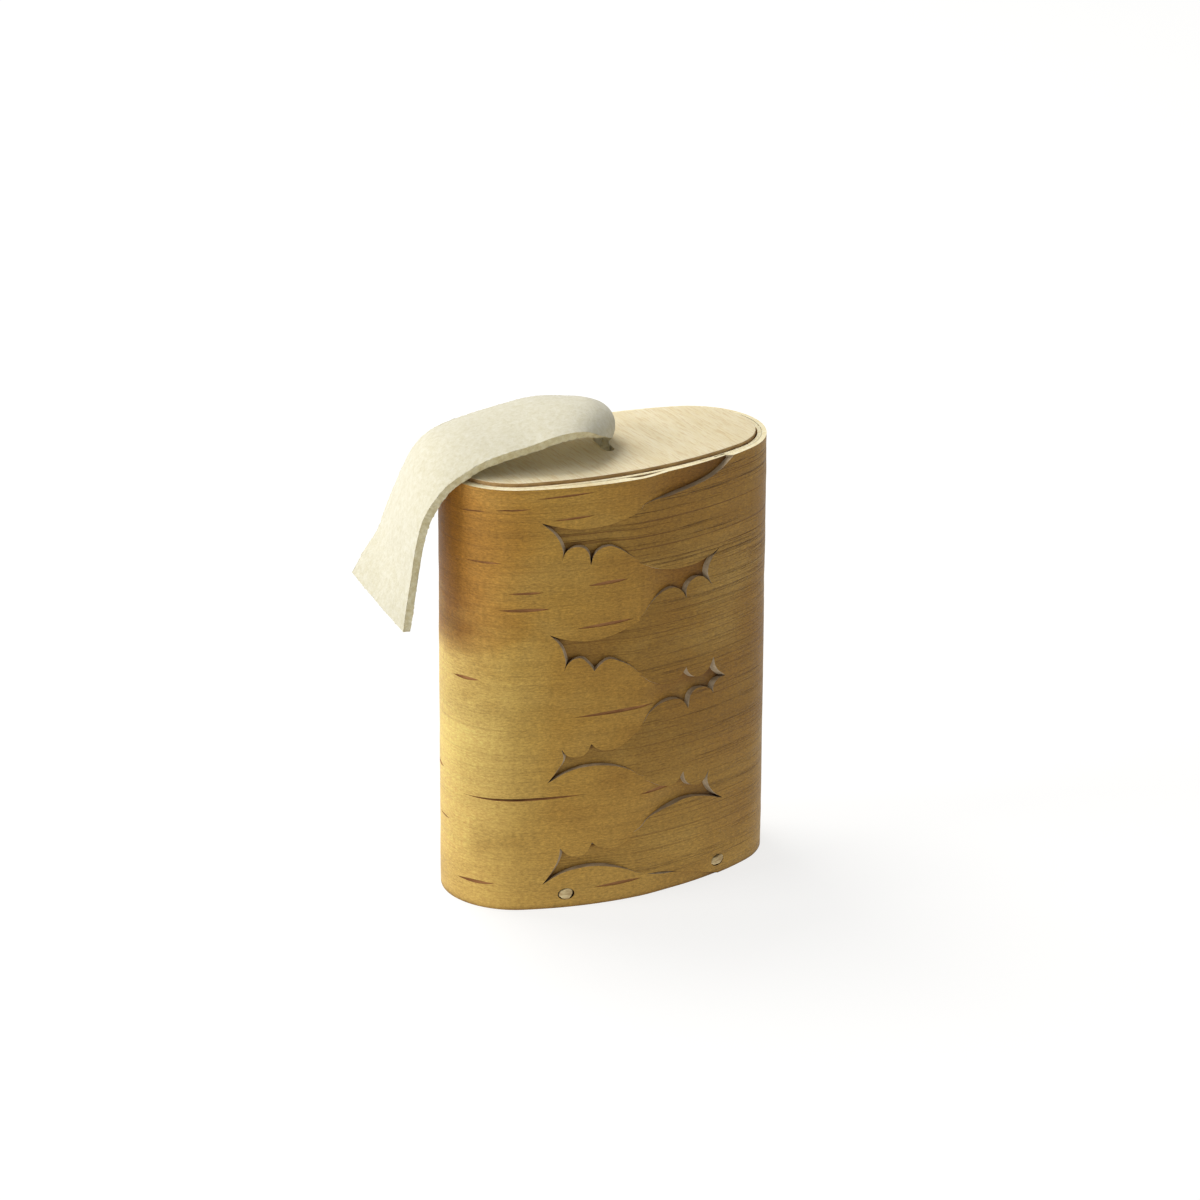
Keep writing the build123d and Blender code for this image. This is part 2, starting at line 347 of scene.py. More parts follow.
def makeBarkSkin(sheetLength, reach):
    finish, tree, shader = startFinish("barkSkin", roughness=0.52)
    shader.inputs["Specular IOR Level"].default_value = 0.2
    flat = addNode(tree, "UVMap", uv_map="flat").outputs[0]
    parts = addNode(tree, "SeparateXYZ", {0: flat})
    along, up = parts.outputs[0], parts.outputs[1]
    whole = sheetLength + 2 * reach
    place = addNode(tree, "MapRange", {0: along, 1: -reach, 2: sheetLength + reach}).outputs[0]
    height = addNode(tree, "MapRange", {0: up, 1: 0.0, 2: 0.120}).outputs[0]
    stops = [
        # the left tongue's stops: a darker bark with painted shade of the sunk tongue
        (0.0, barkTones["shadedTongueTip"]),
        ((reach - 0.013) / whole, barkTones["tongue"]),
        ((reach + 0.002) / whole, barkTones["leftEnd"]),
        ((reach + 0.034) / whole, barkTones["leftSide"]),
        # the corner stop: paler bark with painted light from the left lamp
        ((reach + 0.060) / whole, barkTones["corner"]),
        (0.5, barkTones["back"]),
        ((reach + sheetLength - 0.045) / whole, barkTones["rightSide"]),
        (1.0, barkTones["rightEnd"]),
    ]
    color = ramp(tree, place, stops)
    blotches = sheetPattern(tree, (26, 40, 1), detail=5, roughness=0.55)

    # painted shadow of the strap, over a warmer, darker bark, high on the left end; painted light from the
    # left lamp, over a straw yellow bark, below it
    leftStops = [((reach + 0.024) / whole, 0.0), ((reach + 0.052) / whole, 1.0), (0.42, 1.0), (0.48, 0.0)]
    leftEnd = ramp(tree, place, leftStops)
    waviness = maths(tree, "MULTIPLY", maths(tree, "SUBTRACT", blotches, 0.5), 0.5)
    wavyHeight = maths(tree, "ADD", height, waviness)
    strapShadowShare = maths(tree, "MULTIPLY", leftEnd, ramp(tree, wavyHeight, [(0.58, 0.0), (0.76, 0.8)]))
    lampLightShare = maths(tree, "MULTIPLY", leftEnd, ramp(tree, wavyHeight, [(0.50, 0.6), (0.64, 0.0)]))
    color = mixColor(tree, "MIX", strapShadowShare, color, barkTones["warmStrapShadow"])
    color = mixColor(tree, "MIX", lampLightShare, color, barkTones["strawLampLight"])

    footShare = ramp(tree, height, [(0.0, 0.6), (0.4, 0.0)])
    color = mixColor(tree, "MIX", footShare, color, barkTones["foot"])
    darkShare = ramp(tree, blotches, [(0.48, 0.0), (0.72, 0.5)])
    color = mixColor(tree, "MIX", darkShare, color, barkTones["dark"])
    paleShare = ramp(tree, blotches, [(0.28, 0.5), (0.48, 0.0)])
    color = mixColor(tree, "MIX", paleShare, color, barkTones["pale"])
    streaks = sheetPattern(tree, (16, 330, 1), detail=6, roughness=0.72)
    color = mixColor(tree, "OVERLAY", 0.28, color, ramp(tree, streaks, [(0.3, 0.33), (0.7, 0.66)]))
    brushing = sheetPattern(tree, (620, 95, 1), detail=6, roughness=0.78, distortion=0.8)
    color = mixColor(tree, "OVERLAY", 0.26, color, ramp(tree, brushing, [(0.3, 0.36), (0.7, 0.62)]))
    specks = sheetPattern(tree, (420, 760, 1), detail=6, roughness=0.8, distortion=0.5)
    color = mixColor(tree, "OVERLAY", 0.55, color, ramp(tree, specks, [(0.3, 0.36), (0.7, 0.62)]))
    fibres = sheetPattern(tree, (900, 2300, 1), detail=3, roughness=0.75)
    color = mixColor(tree, "OVERLAY", 0.80, color, ramp(tree, fibres, [(0.32, 0.32), (0.68, 0.66)]))

    # fine splits along the grain, crowded on the right sheet and towards its top
    rightShare = ramp(tree, place, [(0.5, 0.12), (0.72, 1.0)])
    upwards = ramp(tree, height, [(0.0, 0.45), (0.6, 0.6), (0.95, 1.0)])
    rightShare = maths(tree, "MULTIPLY", rightShare, upwards)
    leftShare = ramp(tree, place, [(0.5, 0.08), (0.6, 0.0)])
    splitShare = maths(tree, "ADD", rightShare, leftShare)
    hairs = sheetPattern(tree, (9, 1500, 1), detail=3, roughness=0.7)
    hairLines = maths(tree, "MULTIPLY", ramp(tree, hairs, [(0.56, 0.0), (0.61, 1.0)]), splitShare)
    color = mixColor(tree, "MIX", maths(tree, "MULTIPLY", hairLines, 0.75), color, barkTones["split"])
    cracks = sheetPattern(tree, (6, 430, 1), detail=4, roughness=0.75)
    crackLines = ramp(tree, cracks, [(0.57, 0.0), (0.592, 1.0), (0.62, 0.0)])
    crackShare = maths(tree, "MULTIPLY", crackLines, splitShare)
    color = mixColor(tree, "MIX", maths(tree, "MULTIPLY", crackShare, 0.85), color, barkTones["crack"])
    # painted highlight: a pale line along the lit lip of each crack
    crackHighlightLines = ramp(tree, cracks, [(0.632, 0.0), (0.65, 1.0), (0.67, 0.0)])
    crackHighlightShare = maths(tree, "MULTIPLY", crackHighlightLines, maths(tree, "MULTIPLY", splitShare, 0.65))
    color = mixColor(tree, "MIX", crackHighlightShare, color, barkTones["pale"])
    # painted shade in the crevices round the openings and under the sheet edges
    color = paintCornerShade(tree, color, tone(98, 54, 12), distance=0.0019, low=0.28, high=0.80)
    tree.links.new(color, shader.inputs["Base Color"])
    tree.links.new(ramp(tree, specks, [(0.3, 0.42), (0.8, 0.62)]), shader.inputs["Roughness"])
    relief = maths(tree, "MULTIPLY", streaks, 0.55)
    relief = maths(tree, "ADD", relief, maths(tree, "MULTIPLY", specks, 0.22))
    relief = maths(tree, "ADD", relief, maths(tree, "MULTIPLY", fibres, 0.16))
    relief = maths(tree, "SUBTRACT", relief, maths(tree, "MULTIPLY", crackShare, 0.9))
    relief = maths(tree, "SUBTRACT", relief, maths(tree, "MULTIPLY", hairLines, 0.55))
    addBump(tree, shader, relief, 0.6, 0.00022)
    return finish


# pale finish for the rounded edges of the outer bark: partly the pale cut bark, partly a painted highlight
# along every edge
def makeRimHighlight():
    finish, tree, shader = startFinish("barkRimHighlight", roughness=0.65)
    place = addNode(tree, "TexCoord").outputs["Object"]
    rimMottle = sheetPattern(tree, (240, 240, 240), detail=4, place=place)
    color = ramp(tree, rimMottle, [(0.30, tone(222, 190, 128)), (0.58, tone(250, 230, 178))])
    tree.links.new(color, shader.inputs["Base Color"])
    return finish


def makeBarkCut():
    finish, tree, shader = startFinish("barkCut", roughness=0.8)
    place = addNode(tree, "TexCoord").outputs["Object"]
    layers = sheetPattern(tree, (120, 900, 400), detail=4, place=place)
    stops = [(0.3, tone(150, 130, 104)), (0.5, tone(176, 156, 126)), (0.72, tone(204, 182, 146))]
    color = ramp(tree, layers, stops)
    # painted shade at the foot of the cut faces
    color = paintCornerShade(tree, color, tone(96, 66, 36), distance=0.0008, low=0.2, high=0.6)
    tree.links.new(color, shader.inputs["Base Color"])
    addBump(tree, shader, layers, 0.5, 0.0001)
    return finish


def makeLenticel():
    finish, tree, shader = startFinish("lenticel", roughness=0.75)
    grit = sheetPattern(tree, (300, 900, 1), detail=4)
    color = ramp(tree, grit, [(0.3, tone(136, 88, 42)), (0.7, tone(170, 120, 66))])
    tree.links.new(color, shader.inputs["Base Color"])
    addBump(tree, shader, grit, 0.6, 0.0001)
    return finish


def makeBarkInside():
    finish, tree, shader = startFinish("barkInside", roughness=0.6)
    place = addNode(tree, "TexCoord").outputs["Object"]
    bands = sheetPattern(tree, (16, 16, 300), detail=5, roughness=0.7, place=place)
    scuffs = sheetPattern(tree, (700, 700, 160), detail=3, place=place)
    stops = [(0.3, tone(196, 158, 98)), (0.55, tone(214, 182, 122)), (0.75, tone(228, 202, 148))]
    color = ramp(tree, bands, stops)
    color = mixColor(tree, "OVERLAY", 0.3, color, ramp(tree, scuffs, [(0.3, 0.4), (0.7, 0.6)]))
    tree.links.new(color, shader.inputs["Base Color"])
    addBump(tree, shader, maths(tree, "ADD", bands, scuffs), 0.4, 0.0001)
    return finish


def makeBarkEdge():
    finish, tree, shader = startFinish("barkEdge", roughness=0.7)
    place = addNode(tree, "TexCoord").outputs["Object"]
    flecks = sheetPattern(tree, (900, 900, 200), detail=4, place=place)
    patches = sheetPattern(tree, (70, 70, 20), detail=2, place=place)
    color = ramp(tree, flecks, [(0.3, tone(230, 212, 162)), (0.6, tone(246, 238, 204))])
    tanShare = ramp(tree, patches, [(0.45, 0.0), (0.7, 0.45)])
    color = mixColor(tree, "MIX", tanShare, color, tone(214, 182, 118))
    tree.links.new(color, shader.inputs["Base Color"])
    addBump(tree, shader, flecks, 0.4, 0.0001)
    return finish


def makeLidWood():
    finish, tree, shader = startFinish("lidWood", roughness=0.55)
    place = addNode(tree, "TexCoord").outputs["Object"]
    growth = sheetPattern(tree, (110, 6, 40), detail=3, distortion=0.4, place=place)
    fibres = sheetPattern(tree, (2600, 150, 900), detail=4, roughness=0.7, place=place)
    pores = sheetPattern(tree, (2300, 210, 700), detail=3, place=place)
    color = ramp(tree, growth, [(0.3, tone(230, 215, 176)), (0.7, tone(242, 231, 199))])
    color = mixColor(tree, "OVERLAY", 0.75, color, ramp(tree, fibres, [(0.3, 0.36), (0.7, 0.6)]))
    poreLines = ramp(tree, pores, [(0.50, 0.0), (0.64, 0.6)])
    color = mixColor(tree, "MIX", poreLines, color, tone(214, 188, 138))
    tree.links.new(color, shader.inputs["Base Color"])
    addBump(tree, shader, maths(tree, "SUBTRACT", fibres, poreLines), 0.35, 0.00012)
    return finish


def makeWhittledWood(name, pale, dark):
    finish, tree, shader = startFinish(name, roughness=0.65)
    place = addNode(tree, "TexCoord").outputs["Object"]
    fibres = sheetPattern(tree, (160, 900, 900), detail=4, place=place)
    tree.links.new(ramp(tree, fibres, [(0.3, dark), (0.62, pale)]), shader.inputs["Base Color"])
    addBump(tree, shader, fibres, 0.4, 0.00012)
    return finish


def makeSuede(name, pale, dark, depth):
    finish, tree, shader = startFinish(name, roughness=0.95, Sheen_Weight=0.35, Sheen_Roughness=0.6)
    shader.inputs["Specular IOR Level"].default_value = 0.15
    place = addNode(tree, "TexCoord").outputs["Object"]
    nap = sheetPattern(tree, (1500, 1500, 1500), detail=3, place=place)
    mottle = sheetPattern(tree, (620, 620, 620), detail=5, roughness=0.7, place=place)
    color = ramp(tree, mottle, [(0.35, dark), (0.65, pale)])
    color = mixColor(tree, "OVERLAY", 0.35, color, ramp(tree, nap, [(0.3, 0.38), (0.7, 0.62)]))
    tree.links.new(color, shader.inputs["Base Color"])
    addBump(tree, shader, nap, 0.5, depth)
    return finish


peg = dict(
    long=0.0041,
    short=0.0028,
    length=0.0120,
    proud=0.00025,
    spread=0.0468,
    height=0.0039,
    gap=0.00026,
    round=0.00035,
    roughness=0.00022,
)


def pegPlaces():
    sides = (("left", -peg["spread"] / 2), ("right", peg["spread"] / 2))
    return [(row, facing, hand, x) for row, facing in (("front", -1), ("back", 1)) for hand, x in sides]


seam = dict(
    left=0.0028,  # the seam stands this far left of the middle
    head=0.0086,
    foot=0.0065,
    wander=(0.0, 0.0002, -0.0008, -0.0018, -0.0023, -0.0013, -0.0019, 0.0),
    tongueReach=0.0300,
    rampLength=0.0110,
    pared=0.06,  # how much thinner a tongue is at its tip
    footLap=0.3,  # share of the lap left at the lowest tongue
    gapDepth=0.033,  # the gap between two tongues, behind an opening
    gapMiddle=0.012,
    headReach=0.0315,
    footReach=0.0272,
    lapReach=0.0355,  # where the two layers part, from the seam
    lapPlay=0.00030,
    easeIn=0.004,
)
wrap = dict(
    thickness=0.0013,
    columnStep=0.0013,
    rowStep=0.0016,
    cutSlant=(0.885, 1.0, 0.72),  # how the foot of a cut is narrower than its top
    knifeTop=0.0005,
    knifeFoot=-0.0020,
    edgeRound=0.00038,
    wave=0.00012,
    lenticelDepth=0.00016,
    lenticelWidth=0.00108,
)
wrapArcs = ovalArcs(0, oval["front"])
sheetLength = ovalLength(wrapArcs)
pitch = (oval["height"] - seam["head"] - seam["foot"]) / (len(seam["wander"]) - 1)
crossings = [
    oval["height"] - seam["head"] - i * pitch + stray for i, stray in enumerate(seam["wander"])
]
handCut = random.Random(7)


# a closed outline in the sheet's plane; each node is its place along, its height and round or corner
def drawOutline(name, nodes):
    bpy.ops.curve.primitive_bezier_curve_add()
    outline = bpy.context.object
    outline.name = name
    outline.data.resolution_u = 7
    spline = outline.data.splines[0]
    spline.bezier_points.add(len(nodes) - len(spline.bezier_points))
    spline.use_cyclic_u = True
    for point, (along, up, kind) in zip(spline.bezier_points, nodes):
        point.co = (along, 0, up)
        point.handle_left_type = point.handle_right_type = "AUTO" if kind == "round" else "VECTOR"
    bpy.ops.object.convert(target="MESH")
    return outline


# a knife: the outline filled and drawn down through the sheet, with slanting sides
def makeCutter(outline, centre, top, bottom, slant, finish):
    pick(outline)
    bpy.ops.object.mode_set(mode="EDIT")
    bpy.ops.mesh.select_all(action="SELECT")
    bpy.ops.mesh.remove_doubles(threshold=0.00002)
    bpy.ops.mesh.edge_face_add()
    bpy.ops.transform.translate(value=(0, top, 0))
    bpy.ops.mesh.extrude_region_move(TRANSFORM_OT_translate={"value": (0, bottom - top, 0)})
    bpy.ops.transform.resize(value=slant, center_override=(centre[0], 0, centre[1]))
    bpy.ops.mesh.select_all(action="SELECT")
    bpy.ops.mesh.normals_make_consistent(inside=False)
    bpy.ops.object.mode_set(mode="OBJECT")
    outline.data.materials.append(finish)
    return outline


# openings in millimetres: how far from the seam and how high, down round the far end;
# a third value marks a sharp corner of the knife
leftWindows = (
    (0, 1, ((3.8, 110.1), (8.4, 108.9), (13, 108.4), (18.2, 108.4), (23.8, 109.6), (28.2, 111, 1),
            (24.4, 107.2), (22.5, 103), (22.3, 100.8), (22.7, 99, 1),
            (21.3, 102.2), (18.2, 103.2), (15.7, 101.8), (14.6, 97.4, 1),
            (13.2, 100.9), (9.7, 102.4), (6.4, 101.2), (2.8, 98.5))),
    (2, 3, ((3.5, 79.1), (9, 77.3), (14.4, 76.6), (22.4, 77.9), (26, 79.4, 1),
            (23.3, 76.3), (22, 73), (21.6, 70.2), (22.1, 68, 1),
            (20.6, 70.7), (17.5, 71.7), (15.3, 69.9), (13.5, 67.4, 1),
            (11.8, 69.1), (9.4, 70.4), (6.2, 69.3), (2.5, 67))),
    (4, 5, ((4.2, 46.1), (7, 44.7), (9.9, 44.5), (12.6, 45.4), (14.3, 47, 1),
            (16.1, 44.1), (18.9, 43.5), (21.1, 44.2), (22.7, 46.3, 1),
            (22.2, 43.2), (24.2, 39.5), (26.6, 36.2, 1),
            (20.2, 39.5), (14.9, 40.3), (10.8, 40), (6, 38.8), (2.2, 36.9))),
    (6, 7, ((4, 17), (6.9, 15.8), (9.6, 16), (12.4, 16.9), (14, 18.4, 1),
            (16, 15.2), (19.2, 14.6), (21.4, 15.7), (23.1, 17.6, 1),
            (23.4, 15.2), (25, 11.2), (28, 6.8, 1),
            (22.4, 9.9), (17.8, 10.9), (13.4, 11), (8.8, 10.1), (4, 8.5))),
)
rightWindows = (
    (1, 2, ((3.6, 94.8), (7.4, 93.5), (15.2, 92.7), (22.2, 93.8), (26.6, 95.4, 1),
            (23.3, 92.5), (22.2, 89.6), (22.7, 87.2), (23.9, 84.8, 1),
            (21.8, 87.2), (20, 88.5), (17.3, 88.5), (15, 86.6), (14.7, 83.3, 1),
            (13.2, 85.7), (10.6, 87.3), (6.6, 86.7), (3.2, 84.2))),
    (3, 4, ((3.4, 62.2), (7.7, 60.5), (11.9, 60.9), (14.9, 63.9, 1),
            (16.1, 61.7), (18.8, 60.2), (22.5, 61.1), (24.8, 64.6, 1),
            (25.7, 61.2), (29.3, 57.6, 1), (26, 57), (24.7, 54.6), (25.8, 51.5, 1),
            (23.8, 54.8), (21, 56.4), (17.2, 55.8), (15.7, 51.3, 1),
            (14, 53.8), (12, 55), (7.9, 55.2), (3.4, 53.2))),
    (5, 6, ((4, 32.8), (8, 30.9), (11.6, 30.9), (14.3, 33.8, 1),
            (15.4, 30.4), (18, 28.7), (20.8, 28.7), (23.4, 31.7, 1),
            (23, 28.8), (24.8, 25), (29, 21.4, 1),
            (20.3, 24.6), (14.8, 25.3), (10.6, 24.5), (5.6, 23.3), (2.6, 22.1))),
)
headEdge = (
    (1, 112.4), (4.3, 113.2), (8, 113.5), (11.8, 114), (18.3, 115), (22.4, 115.8), (26, 117), (28.8, 118.4),
)
footEdge = ((0.8, 6.4), (8.3, 5.7), (16.2, 3.5), (21.7, 1.8))


# an opening in one end of the sheet, with the gap between two tongues behind it
def windowNodes(end, sense, upper, lower, shape):
    tall = upper - lower
    nodes = [
        (end - sense * seam["gapDepth"], upper + 0.10 * tall, "corner"),
        (end - sense * seam["gapMiddle"], upper + 0.20 * tall, "round"),
        (end, upper, "round"),
    ]
    for reach, height, *sharp in shape:
        nodes.append((end + sense * reach / 1000, height / 1000, "corner" if sharp else "round"))
    nodes += [
        (end, lower, "round"),
        (end - sense * seam["gapMiddle"], lower - 0.20 * tall, "round"),
        (end - sense * seam["gapDepth"], lower - 0.10 * tall, "corner"),
    ]
    return nodes


# the highest and the lowest opening, which the sheet's edge curves away from
def stripNodes(crossing, border, shape, corner):
    past = border + (0.003 if border > crossing else -0.003)
    nodes = [
        (sheetLength + seam["gapDepth"], crossing - 0.1 * (border - crossing), "corner"),
        (sheetLength, crossing, "round"),
    ]
    nodes += [(sheetLength - reach / 1000, height / 1000, "round") for reach, height in shape]
    nodes += [
        (sheetLength - corner, border, "corner"),
        (sheetLength - corner, past, "corner"),
        (sheetLength + seam["gapDepth"], past, "corner"),
    ]
    return nodes


# marks of the bark near the seam: start and end along the sheet, height at both, in millimetres,
# and how bold where it is less than full
frontLenticels = (
    (12.4, 29.4, 118.4, 117.1, 0.6),
    (29.9, 39.9, 114.7, 114.2, 0.5),
    (42.0, 50.9, 113.9, 112.6, 0.4),
    (12.9, 24.9, 111.8, 110.9, 0.6),
    (37.9, 48.6, 99.6, 99.2, 0.6),
    (26.7, 36.7, 91.2, 91.0, 0.7),
    (24.8, 39.5, 86.5, 86.2),
    (3.5, 15.3, 92.7, 91.9),
    (1.7, 18.6, 81.2, 80.0),
    (44.4, 53.9, 65.8, 65.1),
    (-5.4, 19.1, 55.6, 54.8),
    (15.0, 50.8, 32.6, 31.6, 0.8),
    (-13.6, 0.1, 30.4, 29.8),
    (40.0, 52.7, 7.5, 6.8),
    (-1.0, 13.4, 5.4, 4.8),
)


# how far round the oval, clockwise from the middle of the front, a place on the front or back is
def placeAlong(arcs, x, facing):
    lengths = [radius * (end - start) for centre, radius, start, end in arcs]
    if facing < 0:
        bow = arcs[0][1]
        return (0 if x < 0 else sum(lengths)) - bow * asin(x / bow)
    bow = arcs[2][1]
    return sum(lengths[:2]) + lengths[2] / 2 + bow * asin(x / bow)


def makePegHoles(finish):
    knives = []
    for row, facing, hand, x in pegPlaces():
        place = placeAlong(wrapArcs, x, facing) - seam["left"]
        bpy.ops.object.select_all(action="DESELECT")
        bpy.ops.mesh.primitive_cylinder_add(
            vertices=32,
            radius=0.5,
            depth=0.004,
            location=(place, 0, peg["height"]),
            rotation=(pi / 2, 0, 0),
            scale=(peg["long"] + 2 * peg["gap"], peg["short"] + 2 * peg["gap"], 1),
        )
        knives.append(bpy.context.object)
        knives[-1].data.materials.append(finish)
    holes = joinPieces("pegHoles", *knives)
    bpy.ops.object.transform_apply(location=True, rotation=True, scale=True)
    return holes


backLenticels = dict(
    count=46,
    leftClear=0.056,
    rightClear=0.062,
    edgeClear=0.006,
    shortest=0.006,
    longest=0.019,
)


def makeLenticelCutter(finish):
    marks = [(*(v / 1000 for v in mark[:4]), *(mark[4:] or (1,))) for mark in frontLenticels]
    for _ in range(backLenticels["count"]):  # the rest of the sheet, all round the back
        start = handCut.uniform(backLenticels["leftClear"], sheetLength - backLenticels["rightClear"])
        height = handCut.uniform(backLenticels["edgeClear"], oval["height"] - backLenticels["edgeClear"])
        size = handCut.uniform(backLenticels["shortest"], backLenticels["longest"])
        endHeight = height + handCut.uniform(-0.0005, 0.0005)
        marks.append((start, start + size, height, endHeight, handCut.uniform(0.4, 1)))
    knives = []
    for start, end, startUp, endUp, weight in marks:
        middle, up = (start + end) / 2, (startUp + endUp) / 2
        width = wrap["lenticelWidth"] * weight
        nodes = [
            (start, startUp, "corner"),
            (start * 0.7 + end * 0.3, startUp * 0.7 + endUp * 0.3 + width * 0.5, "round"),
            (start * 0.25 + end * 0.75, startUp * 0.25 + endUp * 0.75 + width * 0.45, "round"),
            (end, endUp, "corner"),
            (start * 0.3 + end * 0.7, startUp * 0.3 + endUp * 0.7 - width * 0.45, "round"),
            (start * 0.75 + end * 0.25, startUp * 0.75 + endUp * 0.25 - width * 0.5, "round"),
        ]
        outline = drawOutline("knife", nodes)
        knives.append(
            makeCutter(outline, (middle, up), 0.0003, -wrap["lenticelDepth"], (0.96, 1, 0.6), finish)
        )
    return joinPieces("lenticelKnives", *knives)


# how far the outer sheet stands off the inner one, from 0 where there is one layer to 1 at the seam
def lapRoom(along):
    offset = seam["left"] if along < sheetLength / 2 else -seam["left"]
    distance = min(abs(along), abs(along - sheetLength)) + offset
    return max(0, 1 - (distance / seam["lapReach"]) ** 2)


# presses both ends down under the other sheet, pares them thinner and gives the bark a gentle wave
def sinkTongues(sheet):
    for vertex in sheet.data.vertices:
        along, out, up = vertex.co
        past = max(-along, along - sheetLength, 0)
        share = smoothStep(past / seam["rampLength"])
        wave = noise.noise(Vector((along * 30, 3.0, up * 75)))
        wave += 0.5 * noise.noise(Vector((along * 70, 9.0, up * 260)))
        lapDepth = oval["lap"]
        if along <= 0:
            rise = smoothStep((up - 0.006) / seam["easeIn"])
            lapDepth *= seam["footLap"] + (1 - seam["footLap"]) * rise
        depth = out * (1 - seam["pared"] * share) - lapDepth * share
        if out < -wrap["thickness"] * 0.6 and past == 0:
            nearEnd = smoothStep(min(along, sheetLength - along) / seam["easeIn"])
            depth -= (oval["lap"] - seam["lapPlay"]) * lapRoom(along) * nearEnd
        vertex.co.y = depth + wave * wrap["wave"]


# keeps each point's place on the flat sheet as the piece's own map, in metres
def layFlatMap(sheet):
    flatMap = sheet.data.uv_layers.new(name="flat")
    for corner in sheet.data.loops:
        along, out, up = sheet.data.vertices[corner.vertex_index].co
        flatMap.data[corner.index].uv = (along, up)
    for name in [layer.name for layer in sheet.data.uv_layers if layer.name != "flat"]:
        sheet.data.uv_layers.remove(sheet.data.uv_layers[name])


# bends a flat sheet round the oval with a curve modifier
def wrapRound(sheet, arcs, shift):
    ring = drawRing("ovalPath", ovalPoints(arcs))
    ring.data.use_deform_bounds = False
    sheet.data.transform(Matrix.Translation((shift, 0, 0)))
    addModifier(sheet, "CURVE", object=ring, deform_axis="POS_X")
    dropPiece(ring)


def makeBarkWrap(skin, cut, edge, rim, lenticel, hole):
    reach = seam["tongueReach"]
    width, height = sheetLength + 2 * reach, oval["height"]
    bpy.ops.mesh.primitive_grid_add(
        x_subdivisions=int(width / wrap["columnStep"]),
        y_subdivisions=int(height / wrap["rowStep"]),
        size=1,
        location=(sheetLength / 2, 0, height / 2),
        rotation=(pi / 2, 0, 0),
    )
    sheet = bpy.context.object
    sheet.name = "barkWrap"
    sheet.scale = (width, height, 1)
    bpy.ops.object.transform_apply(location=True, rotation=True, scale=True)
    sheet.data.materials.append(skin)
    sheet.data.materials.append(edge)
    sheet.data.materials.append(rim)
    addModifier(sheet, "SOLIDIFY", thickness=wrap["thickness"], offset=-1)
    for face in sheet.data.polygons:
        if abs(face.normal.z) > 0.7:
            face.material_index = 1
    front = min(v.co.y for v in sheet.data.vertices)
    sheet.data.transform(Matrix.Translation((0, -front, 0)))  # skin side at y = 0 after the turn below
    sheet.data.transform(Matrix.Scale(-1, 4, (0, 1, 0)))
    sheet.data.flip_normals()
    openings = []
    for end, sense, windows in ((0, 1, leftWindows), (sheetLength, -1, rightWindows)):
        for upper, lower, shape in windows:
            openings.append(windowNodes(end, sense, crossings[upper], crossings[lower], shape))
    openings.append(stripNodes(crossings[0], height, headEdge, seam["headReach"]))
    openings.append(stripNodes(crossings[7], 0, footEdge, seam["footReach"]))
    for nodes in openings:
        end = 0 if nodes[0][0] < sheetLength / 2 else sheetLength
        middle = sum(up for along, up, kind in nodes) / len(nodes)
        outline = drawOutline("knife", nodes)
        depths = (wrap["knifeTop"], wrap["knifeFoot"])
        cutWith(sheet, makeCutter(outline, (end, middle), *depths, wrap["cutSlant"], cut))
    # the rounded edges take the pale rim finish, with its painted highlight
    roundEdges(sheet, wrap["edgeRound"], 2, 40, material=2)
    cutWith(sheet, makeLenticelCutter(lenticel))
    # the peg holes' walls take the near-black finish, painted shade in the gap round each peg
    cutWith(sheet, makePegHoles(hole))
    layFlatMap(sheet)
    sinkTongues(sheet)
    wrapRound(sheet, wrapArcs, seam["left"])
    smoothFaces(sheet, 38)
    return sheet


liner = dict(inset=0.0013, thickness=0.0013, edgeRound=0.00020, topBand=0.118)


# the oval as a closed loop of edges at a height, ready to fill or to draw up
def drawOvalMesh(name, inset, height, step):
    ring = drawRing(name, ovalPoints(ovalArcs(inset, oval["back"]), step))
    pick(ring)
    bpy.ops.object.convert(target="MESH")
    loop = bpy.context.object
    loop.name = name
    loop.data.transform(Matrix.Translation((0, 0, height)))
    return loop


def makeLiner(skin, edge):
    piece = drawOvalMesh("barkLiner", liner["inset"], 0, 0.0014)
    pick(piece)
    bpy.ops.object.mode_set(mode="EDIT")
    bpy.ops.mesh.select_all(action="SELECT")
    bpy.ops.mesh.extrude_region_move(TRANSFORM_OT_translate={"value": (0, 0, oval["height"])})
    bpy.ops.mesh.select_all(action="SELECT")
    bpy.ops.mesh.normals_make_consistent(inside=False)
    bpy.ops.object.mode_set(mode="OBJECT")
    piece.data.materials.append(skin)
    piece.data.materials.append(edge)
    addModifier(piece, "SOLIDIFY", thickness=liner["thickness"], offset=-1, material_offset_rim=1)
    roundEdges(piece, liner["edgeRound"], 3, 50)
    pick(piece)
    bpy.ops.object.mode_set(mode="EDIT")
    bpy.ops.mesh.select_all(action="SELECT")
    bpy.ops.mesh.bisect(plane_co=(0, 0, liner["topBand"]), plane_no=(0, 0, 1))
    bpy.ops.object.mode_set(mode="OBJECT")
    smoothFaces(piece, 38)
    return piece


lid = dict(
    inset=0.0029,
    bottom=lidLow.z,
    top=lidHigh.z,
    round=0.00022,
    slotLength=0.0110,
    slotWidth=0.0030,
    slotDepth=0.03,
)
strapTurn = radians(9)


